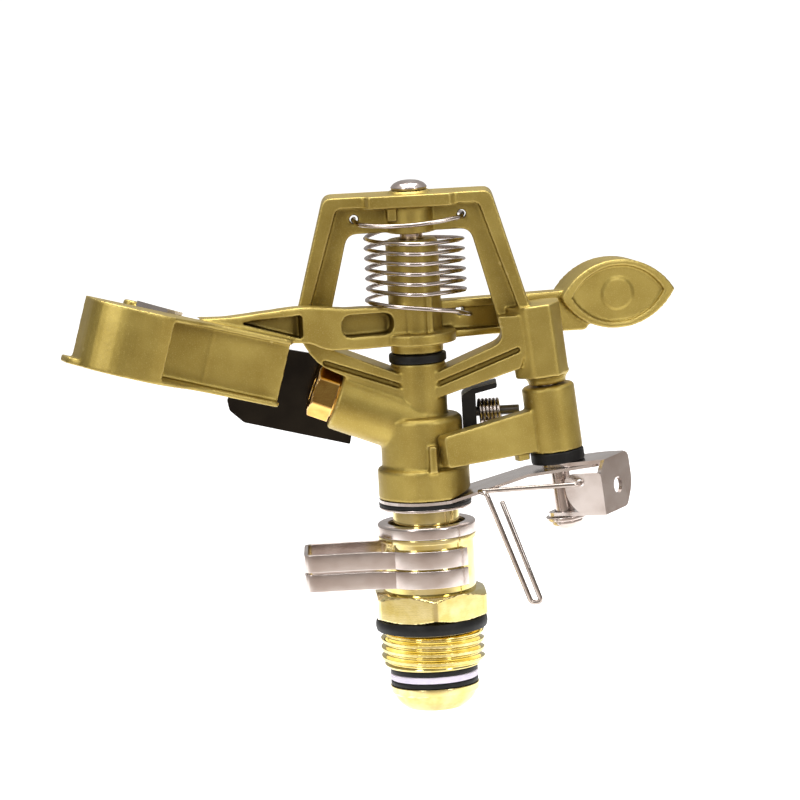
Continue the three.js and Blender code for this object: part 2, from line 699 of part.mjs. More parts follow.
/** The front edge of the spoon's flanges: [along, out] from the plain panel to the tip. */
const spoonEdge = [
  [0, 2.6], [0.42 * spoonLength, 4.2], [0.56 * spoonLength, 0.8 * spoonBulge],
  [0.67 * spoonLength, spoonBulge], [0.86 * spoonLength, 0.94 * spoonBulge], [spoonLength, 0.58 * spoonBulge],
];

function spoon() {
  const back = spoonWall;
  const whole = outline([[0, -back], ...spoonEdge.map(([s, v]) => [s, v, 3]), [spoonLength, -back]]);
  const wallStart = 0.64 * spoonLength;
  const hollow = outline([
    [-1, 0], [-1, through], [wallStart - 2.6, through], [wallStart, 0.86 * spoonBulge - spoonWall, 1],
    [0.7 * spoonLength, spoonBulge - 1.6 * spoonWall, 2],
    [0.86 * spoonLength, 0.93 * spoonBulge - 1.6 * spoonWall, 2],
    [spoonLength - 2.6, 0.6 * spoonBulge - spoonWall, 1], [spoonLength - 2.6, 0],
  ]);
  const shell = cut(
    plate(whole, -spoonHalf, spoonHalf, spoonPlan),
    plate(hollow, -spoonHalf + spoonRim, spoonHalf - spoonRim, spoonPlan),
  );
  const lip = outline([
    [spoonLength - 3, -back], [spoonLength + spoonLip, -back, 0.5],
    [spoonLength + spoonLip, 0.3 * spoonBulge, 1.5], [spoonLength - 3, 0.66 * spoonBulge],
  ]);
  return join(shell, plate(lip, -spoonHalf, spoonWall - spoonHalf, spoonPlan), rearVane());
}

/** Points beside the curved vane that stands in the jet: its middle line moved sideways. */
function vaneLine(aside, from = 0, to = 1) {
  const list = [];
  for (let i = 0; i <= 6; i += 1) {
    const t = from + ((to - from) * i) / 6;
    const tangent = new THREE.Vector2(vaneRun, -2 * vaneSet * t).normalize();
    const [along, out] = [vaneRoot + vaneRun * t, -spoonWall / 2 - vaneSet * t * t];
    list.push([along - tangent.y * aside, out + tangent.x * aside]);
  }
  return list;
}

/** The vane behind the panel, with its rolled end. */
function rearVane() {
  const shape = outline([...vaneLine(vaneWall / 2), ...vaneLine(-vaneWall / 2).reverse()]);
  const [tip] = vaneLine(0).slice(-1);
  const knob = spoonPlan.clone().multiply(new THREE.Matrix4().makeTranslation(tip[0], tip[1], 0));
  const vaneHalf = spoonHalf - 0.4;
  return join(plate(shape, -vaneHalf, vaneHalf, spoonPlan), disc(1.6, -vaneHalf, vaneHalf + 0.6, knob, 16));
}

function weight() {
  const reach = weightLength / 2;
  const rise = weightWidth / 2;
  const leaf = (shrink) => {
    const long = reach - 1.9 * shrink;
    const high = rise - shrink;
    const radius = (long * long + high * high) / (2 * high);
    const sweep = Math.asin(long / radius);
    const shape = new THREE.Shape();
    const drop = radius - high;
    shape.absarc(weightReach, weightHeight - drop, radius, Math.PI / 2 - sweep, Math.PI / 2 + sweep, false);
    shape.absarc(weightReach, weightHeight + drop, radius, 1.5 * Math.PI - sweep, 1.5 * Math.PI + sweep, false);
    return shape;
  };
  const front = weightThickness / 2 - armSetOff;
  const slab = plate(leaf(0), front - weightThickness, front, upright, 12);
  const recess = plate(leaf(weightRim), front - weightRecess, through, upright, 12);
  const markFrame = frameAt(vec(weightReach, 0, weightHeight), vec(1, 0, 0), vec(0, 0, 1));
  const mark = disc(weightMark, front - weightRecess - 1, front - weightRecess + 0.3, markFrame);
  return join(cut(slab, recess), mark);
}

function swingArm() {
  const floor = armFloor;
  const tube = turned([
    [0, armBottom], [armHubRadius, armBottom], [armHubRadius, armHubTop - 0.6],
    [armHubRadius - 0.6, armHubTop], [0, armHubTop],
  ]);
  const skirt = disc(armHubRadius + 2.7, floor, floor + 2.2);
  const leftPlate = plate(outline([
    [0, floor], [-13, floor], [-20, floor + 0.4, 3], [-spoonStart + 6, floor + 2.2, 2],
    [-spoonStart - 1, spoonHeight + 6, 1], [-46, armShoulder - 0.4, 1], [-40, armShoulder - 0.8, 1],
    [-24.4, armShoulder, 2],
    [-15, armTop + 0.6], [0, armTop],
  ]), armSetOff - armPlate / 2, armSetOff + armPlate / 2, upright);
  const window = plate(outline([
    [-16.6, floor + 2.6], [-5.8, floor + 2.6], [-5.8, armTop - 1], [-16.6, armTop - 0.6],
  ], 2.4), armWeb, through, upright);
  const notch = plate(outline([
    [-24.8, floor + 3.2, 0.5], [-24.8, armTop + 0.2, 0.5], [-38, armTop - 0.2, 0.3],
  ]), armWeb, through, upright);
  const rightPlate = plate(outline([
    [0, floor], [16, floor], [weightReach - 7, floor - 1], [weightReach - 4, floor + 2],
    [weightReach - 6, armTop + 0.6], [weightReach - 12, armTop - 0.4], [0, armTop],
  ]), -armSetOff - armPlate / 2, -armSetOff + armPlate / 2, upright);
  const channel = plate(outline([
    [armHubRadius + 0.4, floor + 1.6], [weightReach - 13, floor + 1.2], [weightReach - 13, armTop - 2],
    [armHubRadius + 0.4, armTop - 1.8],
  ], 1), -armSetOff + 0.4, through, upright);
  const hook = disc(0.9, -through, through, frameAt(vec(armHookReach, 0, armHookHeight), vec(1, 0, 0), vec(0, 0, 1)), 12);
  const ribFront = block(0.6, 2, -armHubRadius - 0.7, -armHubRadius + 1, floor + 2, armTop + 2.6);
  const body = join(cut(leftPlate, window, notch), cut(rightPlate, channel, hook), tube, skirt, weight(), spoon());
  return cut(join(body, ribFront), disc(fulcrumRadius + gap, 0, 2 * through));
}
add("swing_arm", swingArm(), "paint", arm);

/** A thin steel strip lines the outer face of the rear vane. */
function wearStrip() {
  const near = vaneWall / 2 + gap;
  const shape = outline([...vaneLine(near + wearSheet, 0.42, 0.9), ...vaneLine(near, 0.42, 0.9).reverse()]);
  return plate(shape, -spoonHalf + 1.6, spoonHalf + 0.6, spoonPlan);
}
add("wear_strip", wearStrip(), "steel", arm);

// ---------------------------------------------------------------- arm spring
function armSpring() {
  const turns = coil(armSpringRadius, armSpringFloor, armSpringCeiling, -armSpringTurns, 180, 12)
    .map((point) => point.add(vec(armSpringShift, 0, 0)));
  const front = -armSpringRadius;
  const hook = (depth) => vec(armHookReach, depth, armHookHeight).applyAxisAngle(upAxis, rad(armRest));
  const foot = [
    hook(-armSetOff + 0.9), hook(-armSetOff - armPlate / 2 - 0.6), vec(7.6, front + 2.4, armHookHeight + 1.5),
    vec(armSpringShift, front, armSpringFloor - 1.2), vec(-6.4, front + 2.6, armSpringFloor - 0.5),
  ];
  const [leftHole, rightHole] = [-1, 1].map((side) => side * springHoleReach + bridgeShift);
  const web = bridgeWeb / 2 + 0.3;
  const head = [
    vec(armSpringShift, -front, armSpringCeiling + 1.9), vec(8.5, 6.5, springHoleHeight - 0.6),
    vec(rightHole, web, springHoleHeight), vec(rightHole, -web, springHoleHeight - 0.1),
    vec(rightHole - 1.3, -4.4, springHoleHeight - 0.4), vec(0, front + 2.4, springHoleHeight - 1.1),
    vec(leftHole + 2.3, -5, springHoleHeight - 0.9), vec(leftHole, -web, springHoleHeight - 0.2),
    vec(leftHole, 0.3, springHoleHeight),
  ];
  return wire([...foot, ...turns, ...head], armSpringWire, 12 * armSpringTurns + 34);
}
add("arm_spring", armSpring(), "steel");

// ---------------------------------------------------------------- trip pin, lever and toggle
const bracketLow = strapTop - strapSheet - bracketHeight;
const pinWasherTop = bracketLow - seat;
add("trip_pin", turned([
  [0, pinWasherTop - 2.8], [pinHeadRadius - 1.2, pinWasherTop - 2.6], [pinHeadRadius, pinWasherTop - 1.6],
  [pinHeadRadius, pinWasherTop - 0.9], [tripPinRadius, pinWasherTop - 0.9], [tripPinRadius, 7], [0, 7],
], undefined, 24), "steel", trip);
add("trip_pin_washer", ring(tripPinRadius + seat, pinWasherRadius, pinWasherTop - 0.8, pinWasherTop, undefined, 24), "steel", trip);

function tripLever() {
  const barrel = turned([
    [0, leverBottom], [leverRadius, leverBottom], [leverRadius, -gap - 0.5], [leverRadius - 0.5, -gap], [0, -gap],
  ]);
  const armFrame = frameAt(
    vec(0, 0, 0), vec(-1, 0, 0).applyAxisAngle(upAxis, rad(leverSwing)), vec(0, 0, 1));
  const shape = outline([
    [0, -leverArmBottom - 0.6], [leverReach, -leverArmBottom, 0.8], [leverReach, -leverArmTop - 0.8, 0.8],
    [leverRadius, -leverArmTop + 0.8], [0, -leverArmTop + 0.8],
  ]);
  const bar = plate(shape, -leverThickness / 2, leverThickness / 2, armFrame);
  const toe = block(6.5, 9, -leverArmBottom - 1.8, -leverArmBottom, -1.2, 1.2, armFrame);
  return cut(join(barrel, bar, toe), disc(tripPinRadius + gap, -through, through));
}
add("trip_lever", tripLever(), "paint", trip);
add("lever_pad", ring(tripPinRadius + gap, leverPadRadius, padBottom, leverBottom - seat), "rubber", trip);

const toggleY = 2.4;
const toggleZ = hubTop - 0.4;
const blockFront = -1.6;
const blockBack = 5;
function toggleBlock() {
  const near = hubRadius + seat;
  const cheek = plate(outline([
    [near, hubTop - 5.2, 0.6], [near + 2.8, hubTop - 5.2, 0.6], [near + 2.8, hubTop + 3.8],
    [near + 7.2, hubTop + 4.8, 0.6], [near + 7.2, hubTop + 5.8, 0.6], [near + 2.2, hubTop + 4.8],
    [near, hubTop + 3.6, 0.6],
  ]), -blockBack, -blockFront, upright);
  const socket = disc(1.3, -1, through, frameAt(vec(near + 1.8, toggleY, toggleZ), vec(0, 1, 0), vec(0, 0, 1)), 16);
  return cut(cheek, socket);
}
add("toggle_block", toggleBlock(), "plastic");
const toggleStart = hubRadius + 2.2;
const toggleFrame = frameAt(vec(toggleStart, toggleY, toggleZ), vec(0, 1, 0), vec(0, 0, 1));
const leverFace = tripX - leverRadius - 0.5;
add("toggle_rod", disc(1, 0, leverFace - toggleStart, toggleFrame, 16), "darkSteel");
const toggleCoil = coil(2.3, 1.2, 5.6, 6, 0, 10).map((point) => point.applyMatrix4(toggleFrame));
add("toggle_spring", wire(toggleCoil, 0.34, 60, 5), "steel");

// ---------------------------------------------------------------- bracket and trip wire
function tripBracket() {
  const [a, b] = [bracketReach, -bracketFront];
  const far = b + bracketDepth;
  const low = bracketLow;
  const high = bracketTopFace;
  const roof = plate(outline([
    [-3.2, -2.6, 2], [3, -3, 1], [a, b + 2.4], [a, far - 1, 1], [6, far - 1, 2], [-3.2, 3.4, 2],
  ]), high - bracketSheet, high);
  const floor = plate(outline([
    [-3.2, -2.6, 2], [3, b, 1], [a, b], [a, far - 3, 2], [4, 4, 2], [-3.2, 3.4, 2],
  ]), low, low + bracketSheet);
  const side = plate(outline([
    [b, low], [far - 3, low, 1], [far, low + 4, 2], [far, high, 2], [b + 2.4, high], [b, strapTop - 1.2, 1],
  ]), a - bracketSheet, a, frameAt(vec(0, 0, 0), vec(0, 1, 0), upAxis));
  const ear = plate(outline([
    [a, low], [a, strapTop - 1.4, 1], [2.4, strapTop - 1.4, 3.8], [2.4, low + 3.4, 2], [5.4, low, 1.5],
  ]), bracketFront - bracketSheet, bracketFront, upright);
  const sideHole = disc(1.7, 0, through, frameAt(vec(0, 3.4, low + 4.8), vec(0, 1, 0), vec(0, 0, 1)), 16);
  const earHole = disc(
    wireRadius + gap, 0, through, frameAt(vec(wireHookX, 0, wireHookZ), vec(1, 0, 0), upAxis), 12);
  return cut(join(roof, floor, side, ear), sideHole, earHole, disc(tripPinRadius + gap, -through, through));
}
const wireHookX = 6;
const wireHookZ = bracketTopFace - 4.2;
add("trip_bracket", tripBracket(), "steel", bracket);

function tripWire() {
  const inBracket = (x, y, z) => vec(x, y, z)
    .applyMatrix4(tripFrame.clone().invert()).applyAxisAngle(upAxis, rad(-bracketTurn));
  const level = tripZ - 20;
  const foot = lowerCollarBottom - 4.15;
  const corners = [
    vec(wireHookX, -bracketFront + bracketSheet + 1.4, wireHookZ),
    vec(wireHookX, -bracketFront - 1.2, wireHookZ),
    inBracket(10.6, -8.4, level), inBracket(12.2, -9.6, level - 0.2),
    inBracket(20.2, -8.6, foot), inBracket(22.2, -8.6, foot + 0.2), inBracket(15.3, -9.6, level - 2.2),
  ];
  return wire(bent(corners, 1), wireRadius, 48);
}
add("trip_wire", tripWire(), "steel", bracket);

export default sprinkler;
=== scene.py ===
"""Looks of a part-circle impact sprinkler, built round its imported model. Metres, +Z up; sizes are in mm."""
import math

import bmesh
import bpy
from mathutils import Matrix, Vector


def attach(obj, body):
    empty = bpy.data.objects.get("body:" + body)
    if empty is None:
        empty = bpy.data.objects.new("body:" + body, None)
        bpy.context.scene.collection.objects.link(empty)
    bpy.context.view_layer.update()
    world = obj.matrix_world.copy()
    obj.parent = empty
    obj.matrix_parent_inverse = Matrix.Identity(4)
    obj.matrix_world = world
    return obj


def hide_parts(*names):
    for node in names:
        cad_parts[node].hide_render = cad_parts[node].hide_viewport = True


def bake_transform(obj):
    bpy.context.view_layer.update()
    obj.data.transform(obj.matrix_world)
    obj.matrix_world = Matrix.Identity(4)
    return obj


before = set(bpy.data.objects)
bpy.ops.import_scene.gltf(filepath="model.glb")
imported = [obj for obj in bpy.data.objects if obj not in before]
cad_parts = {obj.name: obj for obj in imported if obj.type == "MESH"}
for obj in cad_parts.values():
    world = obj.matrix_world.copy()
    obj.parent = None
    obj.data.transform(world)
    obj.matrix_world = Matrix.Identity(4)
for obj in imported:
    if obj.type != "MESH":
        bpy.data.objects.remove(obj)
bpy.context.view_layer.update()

# ------------------------------------------------------------------ inlet nipple
# The brass body with the half-inch pipe thread, the hexagon and the polished barrel.
# Turned from brass bar, the thread rolled, then bright plated; it stays on the pipe.
MM = 0.001
TAU = 2 * math.pi


def colour(code):
    """Linear RGBA of an sRGB hex code."""
    parts = [int(code[i:i + 2], 16) / 255 for i in (1, 3, 5)]
    return [c / 12.92 if c <= 0.04045 else ((c + 0.055) / 1.055) ** 2.4 for c in parts] + [1.0]


def add_node(tree, kind, inputs=None, **settings):
    """Adds a shader node, sets its properties, and sets its inputs or links nodes to them."""
    node = tree.nodes.new("ShaderNode" + kind)
    for name, value in settings.items():
        setattr(node, name, value)
    for name, value in (inputs or {}).items():
        if isinstance(value, bpy.types.Node):
            value = value.outputs[0]
        if isinstance(value, bpy.types.NodeSocket):
            tree.links.new(value, node.inputs[name])
        else:
            node.inputs[name].default_value = value
    return node


def finish_material(name, look):
    """A material whose look is given the node tree and the place on the piece in mm."""
    material = bpy.data.materials.new(name)
    material.use_nodes = True
    tree = material.node_tree
    tree.nodes.clear()
    metres = add_node(tree, "TexCoord").outputs["Object"]
    place = add_node(tree, "Mapping", {"Vector": metres, "Scale": (1 / MM,) * 3})
    surface = add_node(tree, "BsdfPrincipled", look(tree, place))
    add_node(tree, "OutputMaterial", {"Surface": surface})
    return material


def brass(light, deep, roughness):
    """Plated or turned brass: tone drifts over 4 mm, turning rings 0.1 mm apart, edges painted near white as
    a painted highlight.
    """
    def look(tree, place):
        tone = add_node(tree, "TexNoise", {"Vector": place, "Scale": 0.25, "Detail": 3.0})
        tone = add_node(tree, "MapRange", {"Value": tone, "From Min": 0.35, "From Max": 0.65})
        base = add_node(tree, "MixRGB", {"Fac": tone, "Color1": colour(light), "Color2": colour(deep)})
        # Painted highlight: convex edges are painted towards near white.
        corner = add_node(tree, "NewGeometry").outputs["Pointiness"]
        corner = add_node(tree, "MapRange", {
            "Value": corner, "From Min": 0.51, "From Max": 0.6, "To Max": 0.6})
        base = add_node(tree, "MixRGB", {"Fac": corner, "Color1": base, "Color2": colour("#FFF6D6")})
        along = add_node(tree, "Mapping", {"Vector": place, "Scale": (0.05, 0.05, 9.0)})
        rings = add_node(tree, "TexNoise", {"Vector": along, "Scale": 1.0, "Detail": 2.0})
        pits = add_node(tree, "TexNoise", {"Vector": place, "Scale": 3.0, "Detail": 2.0})
        rough = add_node(tree, "MapRange", {
            "Value": rings, "From Min": 0.3, "From Max": 0.7,
            "To Min": 0.7 * roughness, "To Max": 1.5 * roughness})
        wavy = add_node(tree, "Bump", {"Height": pits, "Distance": 0.009 * MM, "Strength": 0.5})
        skin = add_node(tree, "Bump", {
            "Height": rings, "Distance": 0.004 * MM, "Strength": 0.5, "Normal": wavy})
        return {"Base Color": base, "Metallic": 1.0, "Roughness": rough, "Normal": skin}
    return look


# Bright plated brass: lemon yellow and near mirror, with faint turning rings under the plate.
polished_brass = finish_material("bright_plated_brass", brass("#F0E2A6", "#DCC878", 0.1))


def mesh_object(name, points, faces, material, body, slot, sharp=32):
    """A smooth mesh object from points in mm; with body None it is left without a body."""
    mesh = bpy.data.meshes.new(name)
    mesh.from_pydata([Vector(p) * MM for p in points], [], faces)
    shape = bmesh.new()
    shape.from_mesh(mesh)
    bmesh.ops.remove_doubles(shape, verts=shape.verts, dist=1e-7)
    bmesh.ops.recalc_face_normals(shape, faces=shape.faces)
    shape.to_mesh(mesh)
    shape.free()
    mesh.shade_smooth()
    mesh.set_sharp_from_angle(angle=math.radians(sharp))
    thing = bpy.data.objects.new(name, mesh)
    bpy.context.scene.collection.objects.link(thing)
    mesh.materials.append(material)
    if body:
        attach(thing, body)
    return thing


def rounded(corners, common=0.15, steps=5, closed=True):
    """A line through corners [x, y] or [x, y, radius], each corner turned into a small arc."""
    line = []
    for i, corner in enumerate(corners):
        here = Vector(corner[:2])
        own = corner[2] if len(corner) > 2 else common
        if not closed and i in (0, len(corners) - 1) or own <= 0:
            line.append(here)
            continue
        last, after = Vector(corners[i - 1][:2]), Vector(corners[(i + 1) % len(corners)][:2])
        back, ahead = (last - here), (after - here)
        reach = min(own, 0.45 * back.length, 0.45 * ahead.length)
        start, end = here + back.normalized() * reach, here + ahead.normalized() * reach
        for k in range(steps + 1):
            t = k / steps
            line.append(start * (1 - t) ** 2 + here * 2 * t * (1 - t) + end * t * t)
    return line


def revolve(line, facets=128, radius_at=None):
    """Points and faces of a closed section turned about Z; radius_at can change a radius by angle."""
    points = []
    for r, z in line:
        for k in range(facets):
            angle = TAU * k / facets
            reach = radius_at(r, z, angle) if radius_at else r
            points.append((reach * math.cos(angle), reach * math.sin(angle), z))
    rows = len(line)
    faces = [
        (i * facets + k, i * facets + (k + 1) % facets,
         (i + 1) % rows * facets + (k + 1) % facets, (i + 1) % rows * facets + k)
        for i in range(rows) for k in range(facets)]
    return points, faces


def placed(made, matrix):
    points, faces = made
    return [matrix @ Vector(p) for p in points], faces


def turned(name, corners, material, body, slot, matrix=Matrix.Identity(4), common=0.15, facets=128):
    made = placed(revolve(rounded(corners, common), facets), matrix)
    return mesh_object(name, *made, material, body, slot)


THREAD_RADIUS, THREAD_DEPTH, THREAD_PITCH = 10.48, 1.0, 1.814
THREAD_BOTTOM, HEX_BOTTOM, HEX_TOP = -7.5, 2.5, 8.0
HEX_FLATS, HEX_TURN = 22.0, 4.0
BARREL_RADIUS, BARREL_TOP, FLANGE_RADIUS, FLANGE_TOP = 9.4, 18.4, 9.9, 19.4
BORE = 5.2


def nipple_radius(r, z, angle):
    """The nipple's outside at a height and angle: helical thread, chamfered hexagon or plain."""
    if r < BORE + 0.5:
        return r
    if z < -0.1:
        turn = ((z / THREAD_PITCH) + angle / TAU) % 1
        crest = min(1, 0.62 - 0.62 * math.cos(TAU * turn)) ** 0.9
        lead = min(1, max(0, (z - THREAD_BOTTOM) / 1.1)) * min(1, max(0, (-0.2 - z) / 0.5))
        return min(r, THREAD_RADIUS - THREAD_DEPTH * (1 - crest * lead))
    if HEX_BOTTOM <= z <= HEX_TOP and r > BARREL_RADIUS + 0.2:
        wedge = (angle - math.radians(HEX_TURN) + math.pi / 2) % (math.pi / 3) - math.pi / 6
        side = HEX_FLATS / 2 / math.cos(wedge)
        cone = HEX_FLATS / 2 - 0.15 + 2 * min(z - HEX_BOTTOM, HEX_TOP - z)
        return min(side, cone, HEX_FLATS / 2 / math.cos(math.pi / 6) - 0.15)
    return r


THREAD_ROWS, HEX_ROWS = 200, 44
THREAD_TOP, BEYOND_HEX = -0.1, 11.5
outside = [[BORE, THREAD_BOTTOM]]
for i in range(THREAD_ROWS + 1):
    outside.append([THREAD_RADIUS, THREAD_BOTTOM + (THREAD_TOP - THREAD_BOTTOM) * i / THREAD_ROWS])
outside += [[THREAD_RADIUS, 0], [THREAD_RADIUS, HEX_BOTTOM - 0.02]]
for i in range(HEX_ROWS + 1):
    outside.append([BEYOND_HEX, HEX_BOTTOM + (HEX_TOP - HEX_BOTTOM) * i / HEX_ROWS])
outside += rounded([
    [9.9, HEX_TOP + 0.02, 0], [BARREL_RADIUS, HEX_TOP + 0.05, 0], [BARREL_RADIUS, BARREL_TOP, 0.12],
    [FLANGE_RADIUS, BARREL_TOP, 0.12], [FLANGE_RADIUS, FLANGE_TOP, 0.2], [7.2, FLANGE_TOP, 0.1],
    [7.2, 9.0, 0.1], [BORE, 9.0, 0]], closed=False)
nipple = mesh_object(
    "inlet_nipple_brass", *revolve(outside, 216, nipple_radius),
    polished_brass, "inlet", "polished_brass", 30)
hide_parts("inlet_nipple")

# ------------------------------------------------------------------ inlet seal
# The thick black rubber washer that seals against the pipe fitting.
# Moulded rubber, matt, with a faint grain and a soft rounded rim.


def moulded(base, worn, roughness):
    """Moulded rubber or plastic: 0.2 mm grain, and dust greying it in 2 mm patches."""
    def look(tree, place):
        grain = add_node(tree, "TexNoise", {"Vector": place, "Scale": 5.0, "Detail": 4.0})
        dust = add_node(tree, "TexNoise", {"Vector": place, "Scale": 0.5, "Detail": 4.0})
        dust = add_node(tree, "MapRange", {
            "Value": dust, "From Min": 0.45, "From Max": 0.8, "To Max": 0.6})
        tint = add_node(tree, "MixRGB", {"Fac": dust, "Color1": colour(base), "Color2": colour(worn)})
        rough = add_node(tree, "MapRange", {
            "Value": grain, "From Min": 0.3, "From Max": 0.7,
            "To Min": roughness - 0.08, "To Max": roughness + 0.1})
        skin = add_node(tree, "Bump", {"Height": grain, "Distance": 0.02 * MM, "Strength": 0.7})
        return {"Base Color": tint, "Roughness": rough, "Normal": skin, "Specular IOR Level": 0.3}
    return look


# Nitrile rubber, moulded: black, matt, slightly greyed by handling.
black_rubber = finish_material("moulded_nitrile_rubber", moulded("#0A0A0A", "#201F1E", 0.5))
seal = turned("inlet_seal_rubber", [
    [10.55, 0.02, 0.2], [11.1, 0.02, 0.5], [11.4, 1.2, 1.0], [11.1, 2.4, 0.5], [10.55, 2.4, 0.2]],
    black_rubber, "inlet", "black_rubber")
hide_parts("inlet_washer")

# ------------------------------------------------------------------ pivot tube and bearing washers
# The brass tube that turns in the nipple ends in a domed flange below the thread.
# Three washers take the thrust: black rubber, white slip plastic, black rubber.
NIPPLE_BOTTOM = -4 * 1.814 - 0.35
upper_top = NIPPLE_BOTTOM - 0.1
slip_top = upper_top - 1.1
lower_top = slip_top - 1.4
shoulder = lower_top - 1.1
dome_top = shoulder - 1.6
tube = turned("pivot_tube_brass", [
    [3.9, dome_top - 3.4, 0.3], [5.8, dome_top - 3.4, 0.8], [7.6, dome_top - 1.87, 1.2],
    [8.75, dome_top, 0.5], [9.0, dome_top + 0.3, 0.2], [9.0, shoulder, 0.15], [4.9, shoulder, 0.05],
    [4.9, 34.6, 0.1], [3.9, 34.6, 0.1]], polished_brass, "head", "polished_brass")
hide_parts("pivot_tube")
# Slip plastic, moulded: white with a cool cast, smooth and slightly waxy.
white_slip = finish_material("moulded_white_slip_plastic", moulded("#E2DBEE", "#C9C1DA", 0.4))
for name, top, depth, rim, material, slot in (
        ("upper_bearing_washer", upper_top, 1.0, 8.85, black_rubber, "black_rubber"),
        ("slip_washer", slip_top, 1.3, 8.95, white_slip, "white_slip_plastic"),
        ("lower_bearing_washer", lower_top, 1.0, 8.85, black_rubber, "black_rubber")):
    washer = turned(name + "_ring", [
        [5.2, top - depth, 0.1], [rim, top - depth, 0.28], [rim, top, 0.28], [5.2, top, 0.1]],
        material, "head", slot)
    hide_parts(name)

# ------------------------------------------------------------------ spring cup, sleeve, pivot spring
# A pressed stainless cup keeps the dirt out of the pivot spring that stands in the nipple.
# The brass sleeve slides inside it; the spring is hard-drawn stainless wire.


def steel(light, deep, roughness, streak):
    """Stainless sheet or wire: tumbling marks stretched along one way, fine scratches, edges painted near
    white as a painted highlight.
    """
    def look(tree, place):
        tone = add_node(tree, "TexNoise", {"Vector": place, "Scale": 0.2, "Detail": 2.0})
        tone = add_node(tree, "MapRange", {"Value": tone, "From Min": 0.35, "From Max": 0.65})
        base = add_node(tree, "MixRGB", {"Fac": tone, "Color1": colour(light), "Color2": colour(deep)})
        # Painted highlight: convex edges are painted towards near white.
        corner = add_node(tree, "NewGeometry").outputs["Pointiness"]
        corner = add_node(tree, "MapRange", {
            "Value": corner, "From Min": 0.51, "From Max": 0.62, "To Max": 0.5})
        base = add_node(tree, "MixRGB", {"Fac": corner, "Color1": base, "Color2": colour("#F4F0EE")})
        along = add_node(tree, "Mapping", {"Vector": place, "Scale": streak})
        marks = add_node(tree, "TexNoise", {"Vector": along, "Scale": 1.0, "Detail": 4.0})
        rough = add_node(tree, "MapRange", {
            "Value": marks, "From Min": 0.3, "From Max": 0.7,
            "To Min": 0.85 * roughness, "To Max": 1.2 * roughness})
        skin = add_node(tree, "Bump", {"Height": marks, "Distance": 0.001 * MM, "Strength": 0.25})
        return {"Base Color": base, "Metallic": 1.0, "Roughness": rough, "Normal": skin}
    return look


# Cold-rolled stainless sheet, tumbled: pale grey with a slightly pink cast and faint marks.
stainless = finish_material("tumbled_stainless_sheet", steel("#DDD3CE", "#C6B8B1", 0.2, (0.4, 0.4, 2.0)))
# Hard-drawn stainless wire: darker and shinier than the sheet, so that thin coils stand out.
spring_steel = finish_material("drawn_stainless_wire", steel("#B9ACA3", "#93857B", 0.16, (2.0, 2.0, 2.0)))
cup = turned("spring_cup_pressed", [
    [9.35, 19.5, 0.05], [9.95, 19.5, 0.1], [9.95, 21.9, 0.55], [7.8, 21.9, 0.2],
    [7.8, 21.3, 0.1], [9.35, 21.3, 0.3]], stainless, "inlet", "stainless")
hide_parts("spring_cup")
sleeve = turned("pivot_sleeve_brass", [
    [6.2, 10.5], [6.7, 10.5], [6.7, 24.8], [6.2, 24.8]],
    polished_brass, "head", "polished_brass", common=0.08)
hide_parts("pivot_sleeve")


def smooth_path(points, per_span=10):
    """Points of a smooth line through all of the given ones."""
    spots = [Vector(p) for p in points]
    line = []
    for i in range(len(spots) - 1):
        a, b = spots[max(i - 1, 0)], spots[i]
        c, d = spots[i + 1], spots[min(i + 2, len(spots) - 1)]
        for k in range(per_span):
            t = k / per_span
            line.append(0.5 * (
                2 * b + (c - a) * t + (2 * a - 5 * b + 4 * c - d) * t * t
                + (3 * b - a - 3 * c + d) * t ** 3))
    return line + [spots[-1]]


def round_wire(name, line, radius, material, body, slot, facets=16):
    """A round wire along a line, with its ends rounded over."""
    forward = (line[1] - line[0]).normalized()
    side = forward.orthogonal().normalized()
    rings, last = [], forward
    for i, spot in enumerate(line):
        ahead = (line[min(i + 1, len(line) - 1)] - line[max(i - 1, 0)]).normalized()
        side = (last.rotation_difference(ahead) @ side).normalized()
        last = ahead
        rings.append((spot, ahead, side, 1.0))
    head, tail = rings[0], rings[-1]
    points, faces = [], []
    for spot, ahead, side, share in rings:
        up = ahead.cross(side)
        for k in range(facets):
            angle = TAU * k / facets
            points.append(spot + (side * math.cos(angle) + up * math.sin(angle)) * radius * share)
    for i in range(len(rings) - 1):
        for k in range(facets):
            a, b = i * facets + k, i * facets + (k + 1) % facets
            faces.append((a, b, b + facets, a + facets))
    for first, spot, ahead, sign in ((0, head[0], head[1], -1), (len(rings) - 1, tail[0], tail[1], 1)):
        rim = [first * facets + k for k in range(facets)]
        for share, out in ((0.8, 0.25), (0.45, 0.4)):
            start = len(points)
            for k in range(facets):
                edge = points[first * facets + k]
                points.append(spot + (edge - spot) * share + ahead * sign * radius * out)
                after = (k + 1) % facets
                faces.append((rim[k], rim[after], start + after, start + k))
            rim = [start + k for k in range(facets)]
        faces.append(tuple(rim))
    return mesh_object(name, points, faces, material, body, slot, 50)


def coil(radius, low, high, turns, start, per_turn=48, centre=(0, 0)):
    """A coil's middle line about Z from one height to another, from a start angle in degrees."""
    count = round(abs(turns) * per_turn)
    line = []
    for i in range(count + 1):
        angle = math.radians(start) + TAU * turns * i / count
        line.append(Vector((
            centre[0] + radius * math.cos(angle), centre[1] + radius * math.sin(angle),
            low + (high - low) * i / count)))
    return line


pivot_spring = round_wire(
    "pivot_spring_coil", coil(5.7, 9.5, 24.4, 6, 0), 0.34, spring_steel, "head", "spring_wire", 10)
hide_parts("pivot_spring")

# ------------------------------------------------------------------ friction collars
# Two stainless bands grip the barrel and set where the sprinkler turns back.
# Each is one bent strip: a ring open at one side, closed into a finger loop at the other.


COLLAR_BORE, COLLAR_SHEET, COLLAR_HEIGHT = 9.55, 0.8, 3.6
LOOP_REACH, LOOP_HALF, MOUTH_HALF, BEND_OUT = 25.0, 7.0, 6.4, 0.8


